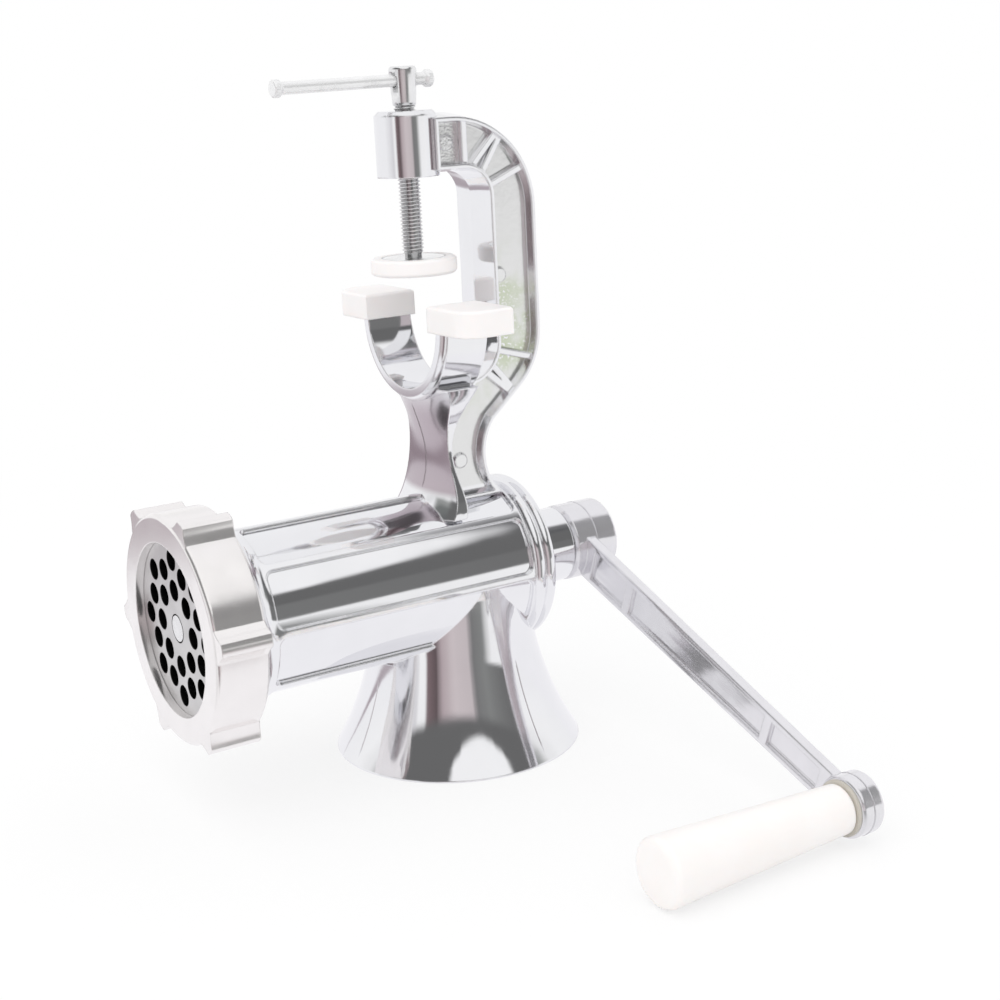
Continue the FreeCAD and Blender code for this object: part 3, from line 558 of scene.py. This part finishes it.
def plated_steel(finishes, name="plated_steel", rounding=0.35, marked=0.05, bright=1.0, root_shade=()):
    """Bright plated steel; rounding is the share of the edge rounding, marked the depth of its drawing
    marks as a share of the polishing waves, and bright how far it shines as bare metal. A root shade gives
    the place of an upright axis along X, and a thread's root and crest radius: the root gets painted shade."""
    look = Finish(name)
    stain = look.noise(160.0, 3.0)
    paint = look.mottled(stain, finishes.steel_colour, 0.88)
    if root_shade:
        axis_x, root, crest = root_shade
        from_axis = look.distance(look.stretched((1.0, 1.0, 0.0), (axis_x, 0.0, 0.0)))
        # Painted shade: the steel darkens from the crests down to the thread's roots
        paint = look.blend(look.ramp(from_axis, root, crest), darker(finishes.steel_colour, 0.60), paint)
    rough = look.patchy(stain, finishes.steel_rough, 0.8, 1.3)
    normal = look.edges(finishes.edge_round * rounding) if rounding else None
    if marked:
        marks = look.noise(1.0, 4.0, look.stretched((500.0, 1500.0, 500.0)))
        normal = look.bump(marks, finishes.wave_depth * marked, normal)
    return look.surface(paint, rough, normal, Metallic=bright)


def moulded_plastic(name, paint, finishes, flow):
    """Moulded plastic that lets a little light in: cloudy colour, a fine leathery skin and faint flow
    lines along the given stretch."""
    look = Finish(name)
    cloud = look.noise(70.0, 2.0)
    aged = tuple(channel * share_left for channel, share_left in zip(paint, AGED))
    tone = look.blend(look.ramp(cloud, 0.35, 0.65), paint, aged)
    rough = look.patchy(cloud, finishes.plastic_rough, 0.9, 1.1)
    lines = look.noise(1.0, 3.0, look.stretched(flow))
    normal = look.bump(lines, finishes.flow_depth, look.edges(finishes.edge_round))
    normal = look.bump(look.noise(1500.0, 2.0), finishes.skin_depth, normal)
    return look.surface(tone, rough, normal, Subsurface_Weight=0.2, Subsurface_Radius=(1.0, 0.8, 0.7),
                        Subsurface_Scale=0.0012, IOR=1.48)


def clothe(material, *nodes):
    """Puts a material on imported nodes."""
    for node in nodes:
        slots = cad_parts[node].material_slots
        if not slots:
            raise RuntimeError(f"{node} has no material slot")
        for slot in slots:
            slot.material = material


def grid_mesh(name, points, first_cap=True, last_cap=True):
    """A mesh from a grid of points, rows by columns by three. Each row closes on itself, and a cap
    fills the first or the last row from a point at its middle."""
    rows, columns = points.shape[:2]
    spots = [points.reshape(-1, 3)]
    ring = np.arange(columns)
    after = np.roll(ring, -1)
    row = np.arange(rows - 1)[:, None] * columns
    quads = np.stack([row + ring, row + after, row + columns + after, row + columns + ring], axis=-1)
    faces = quads.reshape(-1, 4).tolist()
    middle = rows * columns
    if first_cap:
        spots.append(points[:1].mean(axis=1))
        faces += np.stack([after, ring, np.full(columns, middle)], axis=-1).tolist()
        middle += 1
    if last_cap:
        spots.append(points[-1:].mean(axis=1))
        last = (rows - 1) * columns
        faces += np.stack([last + ring, last + after, np.full(columns, middle)], axis=-1).tolist()
    spots = np.vstack(spots)
    mesh = bpy.data.meshes.new(name)
    mesh.from_pydata(spots.tolist(), [], faces)
    mesh.polygons.foreach_set("use_smooth", np.ones(len(mesh.polygons), dtype=bool))
    mesh.update()
    return mesh


def placed(name, mesh, material, body, replaced=()):
    """Makes an object of a finished mesh, riding on its body."""
    mesh.materials.append(material)
    piece = bpy.data.objects.new(name, mesh)
    bpy.context.scene.collection.objects.link(piece)
    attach(piece, body)
    if replaced:
        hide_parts(*replaced)


def thread_surface(sizes):
    """Clamp screw as radius over height and turn. Below the head the radius is the crest radius less
    the depth times a trapezoid wave of (height / pitch - turn); the head, the run-out and the neck are
    an outline that doesn't change with the turn."""
    foot, top = SCREW_LOW[2], SCREW_HIGH[2]
    centre = (SCREW_LOW + SCREW_HIGH) / 2
    rivet = SCREW_HIGH[0] - centre[0]
    thread_low, thread_top = foot + sizes.end_length, top - sizes.head_length
    steps = int(round((thread_top - thread_low) / sizes.pitch * sizes.rows))
    cut = np.linspace(thread_low, thread_top, steps)
    turn = np.linspace(0.0, 1.0, sizes.around, endpoint=False)
    wave = np.abs(2.0 * ((cut[:, None] / sizes.pitch - turn[None, :]) % 1.0) - 1.0)
    tooth = np.clip(wave * 1.45 - 0.2, 0.0, 1.0)
    run_in = np.clip((cut - thread_low) / sizes.pitch, 0.0, 1.0)[:, None]
    threaded = sizes.major - sizes.depth * (tooth * run_in + (1.0 - run_in))
    neck, wide, narrow = sizes.neck, sizes.head_radius, sizes.head_foot
    low = np.array([(sizes.end_radius, foot), (rivet * 0.55, foot + 0.0004), (neck, foot + 0.0012),
                    (neck, thread_low - 0.0002)])
    high = np.array([(narrow - 0.0002, thread_top + 0.00005), (narrow, thread_top + 0.0003),
                     (narrow + 0.0001, thread_top + 0.0015), (wide - 0.0001, top - 0.0042),
                     (wide, top - 0.0030), (wide, top - 0.0010), (wide - 0.0001, top - 0.0007),
                     (wide - 0.0004, top - 0.0002), (wide - 0.0009, top)])
    radius = np.vstack([np.repeat(low[:, :1], sizes.around, axis=1), threaded,
                        np.repeat(high[:, :1], sizes.around, axis=1)])
    height = np.concatenate([low[:, 1], cut, high[:, 1]])
    around = 2.0 * math.pi * turn
    return np.stack([centre[0] + radius * np.cos(around), centre[1] + radius * np.sin(around),
                     np.repeat(height[:, None], sizes.around, axis=1)], axis=-1)


def round_rod(x_low, x_high, radius, height, around=32):
    """A plain rod along X: a circle of the radius about the clamp's line at each of two places."""
    turn = np.linspace(0.0, 2.0 * math.pi, around, endpoint=False)
    ends = np.array([x_low, x_high])[:, None]
    return np.stack([ends + 0.0 * turn, radius * np.cos(turn) + 0.0 * ends,
                     height + radius * np.sin(turn) + 0.0 * ends], axis=-1)


def bar_surface(sizes, around=48):
    """Sliding bar as radius over length and turn: a plain rod whose radius grows to each end over a
    smooth step, with shallow flutes, a cosine of the turn times their number, crimped into the ends."""
    low, high = BAR_LOW[0], BAR_HIGH[0]
    middle = (BAR_LOW + BAR_HIGH) / 2
    step = np.linspace(0.0, 1.0, 40)
    body = sizes.end_lip + (sizes.end_length - sizes.end_lip) * step[1:]
    side = np.concatenate([[0.0, 0.0], sizes.end_lip * step[4::9], body])
    length = np.concatenate([low + side, high - side[::-1]])
    inset = np.minimum(length - low, high - length)
    swell = np.clip((sizes.end_length - inset) / (sizes.flare * sizes.end_length), 0.0, 1.0)
    swell = swell * swell * (3.0 - 2.0 * swell)
    dome = np.sqrt(np.clip(1.0 - (1.0 - np.clip(inset / sizes.end_dome, 0.0, 1.0)) ** 2, 0.0, 1.0))
    radius = sizes.radius + (sizes.end_radius - sizes.radius) * swell
    radius = radius * (sizes.end_face + (1.0 - sizes.end_face) * dome)
    radius[[0, -1]] *= 0.5
    turn = np.linspace(0.0, 2.0 * math.pi, around, endpoint=False)
    crimped = (np.clip(swell * 1.6 - 0.6, 0.0, 1.0) * dome)[:, None] * sizes.crimp
    full = radius[:, None] - crimped * (0.5 + 0.5 * np.cos(sizes.flutes * turn))[None, :]
    lean = math.tan(sizes.droop) * (length - CLAMP_X)
    return np.stack([length[:, None] + 0.0 * full, middle[1] + full * np.cos(turn)[None, :],
                     middle[2] + lean[:, None] + full * np.sin(turn)[None, :]], axis=-1)


def drilled(mesh, rod):
    """A mesh with the room of a rod cut out of it."""
    scene = bpy.context.scene
    solid = bpy.data.objects.new("solid", mesh)
    drill = bpy.data.objects.new("drill", grid_mesh("drill", rod))
    for part in (solid, drill):
        scene.collection.objects.link(part)
    cut = solid.modifiers.new("hole", "BOOLEAN")
    cut.operation = "DIFFERENCE"
    cut.object = drill
    made = bpy.data.meshes.new_from_object(solid.evaluated_get(bpy.context.evaluated_depsgraph_get()))
    for part in (solid, drill):
        bpy.data.objects.remove(part)
    if len(made.polygons) < len(mesh.polygons) // 2:
        raise RuntimeError("the hole in the screw's head failed")
    return made


def found_on(node, starts, directions):
    """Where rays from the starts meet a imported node, with the normals there."""
    tree = BVHTree.FromObject(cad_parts[node], bpy.context.evaluated_depsgraph_get())
    hits = [tree.ray_cast(Vector(s), Vector(d)) for s, d in zip(starts, directions)]
    kept = [hit[:2] for hit in hits if hit[0] is not None]
    if len(kept) < 2:
        raise RuntimeError(f"no path found on {node}")
    places, normals = zip(*kept)
    return np.array(places), np.array(normals)


def bead(path, normals, width, height, around=8):
    """A low half-round line: at each point of the path an ellipse whose axes are the width across the
    path and the height along the normal, both drawn in to nothing at the two ends."""
    along = np.gradient(path, axis=0)
    along /= np.linalg.norm(along, axis=1)[:, None]
    across = np.cross(along, normals)
    across /= np.linalg.norm(across, axis=1)[:, None]
    up = np.cross(across, along)
    row = np.arange(len(path))
    taper = np.clip(np.minimum(row, row[::-1]) / 3.0, 0.05, 1.0)[:, None, None]
    t = np.linspace(0.0, 2.0 * math.pi, around, endpoint=False)[None, :, None]
    return (path[:, None, :] + across[:, None, :] * np.cos(t) * taper * width / 2
            - up[:, None, :] * np.sin(t) * taper * height)


def ring_line(name, middle, radius, width, height, around=128, across=8):
    """A line round an axis along X: an ellipse of the width and twice the height, carried round a
    circle of the radius."""
    turn = np.linspace(0.0, 2.0 * math.pi, around, endpoint=False)[:, None]
    t = np.linspace(0.0, 2.0 * math.pi, across, endpoint=False)[None, :]
    out = radius + height * np.sin(t)
    points = np.stack([middle[0] + width / 2 * np.cos(t) + 0.0 * turn, middle[1] + out * np.cos(turn),
                       middle[2] + out * np.sin(turn)], axis=-1)
    points = np.concatenate([points, points[:1]])
    mesh = grid_mesh(name, points, first_cap=False, last_cap=False)
    shell = bmesh.new()
    shell.from_mesh(mesh)
    bmesh.ops.remove_doubles(shell, verts=shell.verts, dist=1e-7)
    bmesh.ops.recalc_face_normals(shell, faces=shell.faces)
    shell.to_mesh(mesh)
    shell.free()
    return mesh


class GRINDER_OT_castings(bpy.types.Operator):
    """Finish the body casting, the feed screw and the crank as polished cast metal"""

    bl_idname = "grinder.castings"
    bl_label = "Castings"

    def execute(self, context):
        finishes = context.scene.grinder_finishes
        clothe(polished_casting(finishes), "body_casting")
        clothe(polished_arm(finishes), "crank_arm", "feed_screw")
        return {"FINISHED"}


class GRINDER_OT_ring_nut(bpy.types.Operator):
    """Finish the ring nut as satin cast metal"""

    bl_idname = "grinder.ring_nut"
    bl_label = "Ring nut"

    def execute(self, context):
        clothe(satin_nut(context.scene.grinder_finishes), "ring_nut")
        return {"FINISHED"}


class GRINDER_OT_plate(bpy.types.Operator):
    """Finish the hole plate and its key as ground steel, and the knife as forged steel"""

    bl_idname = "grinder.plate"
    bl_label = "Plate and knife"

    def execute(self, context):
        finishes = context.scene.grinder_finishes
        clothe(ground_plate(finishes), "hole_plate", "plate_key")
        clothe(forged_steel(finishes), "knife")
        return {"FINISHED"}


class GRINDER_OT_fasteners(bpy.types.Operator):
    """Finish the crank's screw and washer, the grip's pin, the foot disc and the stud as plated steel"""

    bl_idname = "grinder.fasteners"
    bl_label = "Fasteners"

    def execute(self, context):
        steel = plated_steel(context.scene.grinder_finishes)
        clothe(steel, "crank_screw", "crank_washer", "grip_pin", "swivel_foot", "drive_stud")
        return {"FINISHED"}


class GRINDER_OT_plastics(bpy.types.Operator):
    """Finish the grip, the clamp pads, the bush and the washers as moulded plastic"""

    bl_idname = "grinder.plastics"
    bl_label = "Plastics"

    def execute(self, context):
        finishes = context.scene.grinder_finishes
        for name, paint, flow, nodes in (
                ("grip_plastic", finishes.grip_colour, (12.0, 160.0, 160.0), ("grip",)),
                ("pad_plastic", finishes.pad_colour, (120.0, 120.0, 30.0),
                 ("jaw_pad_left", "jaw_pad_right", "foot_pad")),
                ("bearing_plastic", finishes.bearing_colour, (300.0, 60.0, 60.0),
                 ("rear_bush", "thrust_washer", "grip_washer"))):
            clothe(moulded_plastic(name, paint, finishes, flow), *nodes)
        return {"FINISHED"}


class GRINDER_OT_clamp_screw(bpy.types.Operator):
    """Cut the thread of the clamp screw and drill its head"""

    bl_idname = "grinder.clamp_screw"
    bl_label = "Clamp screw"

    def execute(self, context):
        sizes = context.scene.grinder_thread
        bar = context.scene.grinder_bar
        reach = 2.0 * (SCREW_HIGH[0] - SCREW_LOW[0])
        rod = round_rod(CLAMP_X - reach, CLAMP_X + reach, bar.hole, BAR_HEIGHT - bar.hole_drop)
        mesh = drilled(grid_mesh("clamp_screw_plain", thread_surface(sizes)), rod)
        mesh.name = "clamp_screw_cut"
        steel = plated_steel(context.scene.grinder_finishes, "thread_steel", rounding=0.08,
                             root_shade=(CLAMP_X, sizes.major - sizes.depth, sizes.major))
        placed("clamp_screw_cut", mesh, steel, "screw", ("clamp_screw",))
        return {"FINISHED"}


class GRINDER_OT_sliding_bar(bpy.types.Operator):
    """Make the sliding bar with its crimped ends"""

    bl_idname = "grinder.sliding_bar"
    bl_label = "Sliding bar"

    def execute(self, context):
        mesh = grid_mesh("sliding_bar", bar_surface(context.scene.grinder_bar))
        finishes = context.scene.grinder_finishes
        steel = plated_steel(finishes, "bar_steel", rounding=0.0, marked=0.0, bright=finishes.bar_bright)
        placed("sliding_bar", mesh, steel, "bar", ("tommy_bar",))
        return {"FINISHED"}


class GRINDER_OT_parting_lines(bpy.types.Operator):
    """Lay the mould's parting lines along the casting and round the crank's ends"""

    bl_idname = "grinder.parting_lines"
    bl_label = "Parting lines"

    def execute(self, context):
        sizes = context.scene.grinder_lines
        for name, turn in (("hopper_line_front", sizes.front_turn), ("hopper_line_side", sizes.side_turn)):
            out = np.array([math.cos(turn), math.sin(turn), 0.0])
            self.lay(name, out * HOPPER_START, HOPPER_LOW, HOPPER_HIGH, sizes)
        ahead = np.array([-STEM_START, 0.0, 0.0])
        self.lay("stem_line", ahead, STEM_LINE_LOW, STEM_LINE_HIGH, sizes)
        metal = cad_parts["crank_arm"].material_slots[0].material
        for name, middle, x, radius in (("eye_line", EYE_MIDDLE, sizes.eye_x, sizes.eye_radius),
                                        ("hub_line", HUB_MIDDLE, sizes.hub_x, sizes.hub_radius)):
            mesh = ring_line(name, (x, middle[1], middle[2]), radius, sizes.width, sizes.height)
            placed(name, mesh, metal, "crank")
        return {"FINISHED"}

    def lay(self, name, start, low, high, sizes):
        """A line where level rays from over the start, between two heights, meet the casting on their way
        to the middle, up to the first step to another face."""
        starts = start + np.linspace(low, high, LINE_POINTS)[:, None] * np.array([0.0, 0.0, 1.0])
        inwards = np.repeat(-start[None, :] / np.linalg.norm(start), len(starts), axis=0)
        path, normals = found_on("body_casting", starts, inwards)
        jumps = np.flatnonzero(np.linalg.norm(np.diff(path, axis=0), axis=1) > LINE_STEP)
        if len(jumps):
            path, normals = path[:jumps[0] + 1], normals[:jumps[0] + 1]
        mesh = grid_mesh(name, bead(path, normals, sizes.width, sizes.height))
        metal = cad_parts["body_casting"].material_slots[0].material
        placed(name, mesh, metal, "frame")


class GRINDER_OT_stage(bpy.types.Operator):
    """Set up the white floor, the soft light and the camera"""

    bl_idname = "grinder.stage"
    bl_label = "Studio"

    def execute(self, context):
        studio = context.scene.grinder_studio
        self.floor(context.scene, studio)
        self.world(context.scene, studio)
        self.lamp(context.scene, studio)
        self.camera(context.scene, studio)
        context.scene.view_settings.view_transform = "Standard"
        return {"FINISHED"}

    def floor(self, scene, studio):
        """A round floor: a ring of points about the origin at each of a few radii. The camera sees it
        white with a share of its true shading near the grinder, which keeps the shadow. Reflections see
        it white beside and behind the grinder, and see it end in front, where the room's bands begin."""
        turn = np.linspace(0.0, 2.0 * math.pi, 96, endpoint=False)
        radius = np.array([studio.floor_radius, *FLOOR_RINGS])[:, None]
        level = 0.0 * radius * turn - FLOOR_GAP
        points = np.stack([radius * np.cos(turn), radius * np.sin(turn), level], axis=-1)
        mesh = grid_mesh("studio_floor", points, first_cap=False)
        look = Finish("studio_floor")
        away = look.distance(look.place)
        strip = look.along(look.place, (math.sin(studio.turn), math.cos(studio.turn), 0.0))
        dim = look.both(look.above(strip, DIM_NEAR, 0.06), look.below(strip, DIM_FAR, 0.09))
        tone = look.blend(look.sum("MULTIPLY", dim, DIM_SHARE), BACK_TONE, DIM_TONE)
        aside, in_front = look.front_side(look.place, heading(studio.turn))
        in_front = look.both(in_front, look.above(away, BANDS_NEAR, 0.03))
        tone = look.blend(in_front, tone, look.bands(aside, FLOOR_TONES))
        rays = look.add("LightPath").outputs
        seen = look.light("Emission", look.blend(rays["Is Camera Ray"], tone, WHITE))
        true = look.add("BsdfDiffuse")
        look.feed(true.inputs["Color"], studio.floor_colour)
        shadow = look.sum("MULTIPLY", look.below(away, SHADOW_REACH, 0.165), studio.floor_shadow)
        white = look.sum("MULTIPLY", look.sum("SUBTRACT", 1.0, shadow), rays["Is Camera Ray"])
        shown = look.mixed(look.sum("MAXIMUM", white, rays["Is Glossy Ray"]), true.outputs[0], seen)
        look.tree.links.new(shown, look.out.inputs["Surface"])
        mesh.materials.append(look.material)
        plane = bpy.data.objects.new("studio_floor", mesh)
        scene.collection.objects.link(plane)

    def world(self, scene, studio):
        """White to the camera; to reflections a white room that darkens towards the ceiling round a bright
        ceiling panel, with upright bands in front and one soft box over them; even fill to the rest."""
        world = bpy.data.worlds.new("studio_room")
        world.use_nodes = True
        room = Nodes(world.node_tree)
        front = heading(studio.turn)
        direction = room.add("TexCoord").outputs["Generated"]
        height = room.split(direction)[2]
        behind = room.both(room.below(room.along(direction, front), -0.09, 0.07),
                           room.above(height, BACK_LOW, 0.075))
        tone = room.blend(behind, room.bands(height, ROOM_TONES, "EASE"), PALE)
        aside, in_front = room.front_side(direction, front)
        over = room.both(in_front, room.above(height, OVER_LOW, 0.02), room.below(height, OVER_HIGH, 0.04))
        tone = room.blend(over, tone, OVER_TONE)
        bands = room.blend(room.above(height, 0.01, 0.02), room.bands(aside, FLOOR_TONES),
                           room.bands(aside, WALL_TONES))
        tone = room.blend(room.both(in_front, room.below(height, BANDS_TOP, 0.035)), tone, bands)
        towards = room.along(direction, heading(studio.turn + studio.box_turn, studio.box_rise))
        tone = room.blend(room.above(towards, studio.box_edge, 0.015), tone, WHITE)
        rays = room.add("LightPath").outputs
        mirrored = room.sum("MAXIMUM", rays["Is Glossy Ray"], rays["Is Transmission Ray"])
        even = room.light("Background", WHITE, studio.fill)
        shown = room.mixed(mirrored, even, room.light("Background", tone))
        shown = room.mixed(rays["Is Camera Ray"], shown, room.light("Background", WHITE))
        room.feed(room.add("OutputWorld").inputs["Surface"], shown)
        scene.world = world

    def lamp(self, scene, studio):
        """One large soft lamp overhead to the left; reflections show the room and not the lamp."""
        data = bpy.data.lights.new("studio_key", "AREA")
        data.energy = studio.key
        data.shape = "DISK"
        data.size = studio.key_size
        lamp = bpy.data.objects.new("studio_key", data)
        lamp.location = studio.key_place
        aim = Vector(studio.key_aim) - Vector(studio.key_place)
        lamp.rotation_euler = aim.to_track_quat("-Z", "Y").to_euler()
        lamp.visible_glossy = False
        lamp.visible_camera = False
        scene.collection.objects.link(lamp)

    def camera(self, scene, studio):
        """Camera on a sphere about the target, turned about its own axis by the roll."""
        back = Vector(heading(studio.turn, studio.rise))
        right = Vector((math.cos(studio.turn), math.sin(studio.turn), 0.0))
        up = back.cross(right)
        side = right * math.cos(studio.roll) + up * math.sin(studio.roll)
        top = up * math.cos(studio.roll) - right * math.sin(studio.roll)
        data = bpy.data.cameras.new("studio_camera")
        data.lens = studio.lens
        data.clip_start = 0.01
        camera = bpy.data.objects.new("studio_camera", data)
        axes = Matrix((side, top, back)).transposed().to_4x4()
        camera.matrix_world = Matrix.Translation(Vector(studio.target) + back * studio.distance) @ axes
        scene.collection.objects.link(camera)
        scene.camera = camera


OPERATORS = (
    GRINDER_OT_castings,
    GRINDER_OT_ring_nut,
    GRINDER_OT_plate,
    GRINDER_OT_fasteners,
    GRINDER_OT_plastics,
    GRINDER_OT_clamp_screw,
    GRINDER_OT_sliding_bar,
    GRINDER_OT_parting_lines,
    GRINDER_OT_stage,
)
SETTINGS = {
    "grinder_finishes": GrinderFinishes,
    "grinder_thread": GrinderThread,
    "grinder_bar": GrinderBar,
    "grinder_lines": GrinderLines,
    "grinder_studio": GrinderStudio,
}


class GRINDER_PT_panel(bpy.types.Panel):
    """Lists the grinder's pieces and settings"""

    bl_idname = "GRINDER_PT_panel"
    bl_label = "Meat grinder"
    bl_space_type = "VIEW_3D"
    bl_region_type = "UI"
    bl_category = "Grinder"

    def draw(self, context):
        for operator in OPERATORS:
            self.layout.operator(operator.bl_idname)
        for name, group in SETTINGS.items():
            box = self.layout.box()
            for setting in group.__annotations__:
                box.prop(getattr(context.scene, name), setting)


def register():
    for name, group in SETTINGS.items():
        bpy.utils.register_class(group)
        setattr(bpy.types.Scene, name, PointerProperty(type=group))
    for operator in OPERATORS:
        bpy.utils.register_class(operator)
    bpy.utils.register_class(GRINDER_PT_panel)


def unregister():
    bpy.utils.unregister_class(GRINDER_PT_panel)
    for operator in reversed(OPERATORS):
        bpy.utils.unregister_class(operator)
    for name, group in SETTINGS.items():
        delattr(bpy.types.Scene, name)
        bpy.utils.unregister_class(group)


def main():
    register()
    bpy.ops.grinder.castings()
    bpy.ops.grinder.ring_nut()
    bpy.ops.grinder.plate()
    bpy.ops.grinder.fasteners()
    bpy.ops.grinder.plastics()
    bpy.ops.grinder.clamp_screw()
    bpy.ops.grinder.sliding_bar()
    bpy.ops.grinder.parting_lines()
    bpy.ops.grinder.stage()
    bpy.context.view_layer.update()


if __name__ == "__main__":
    main()
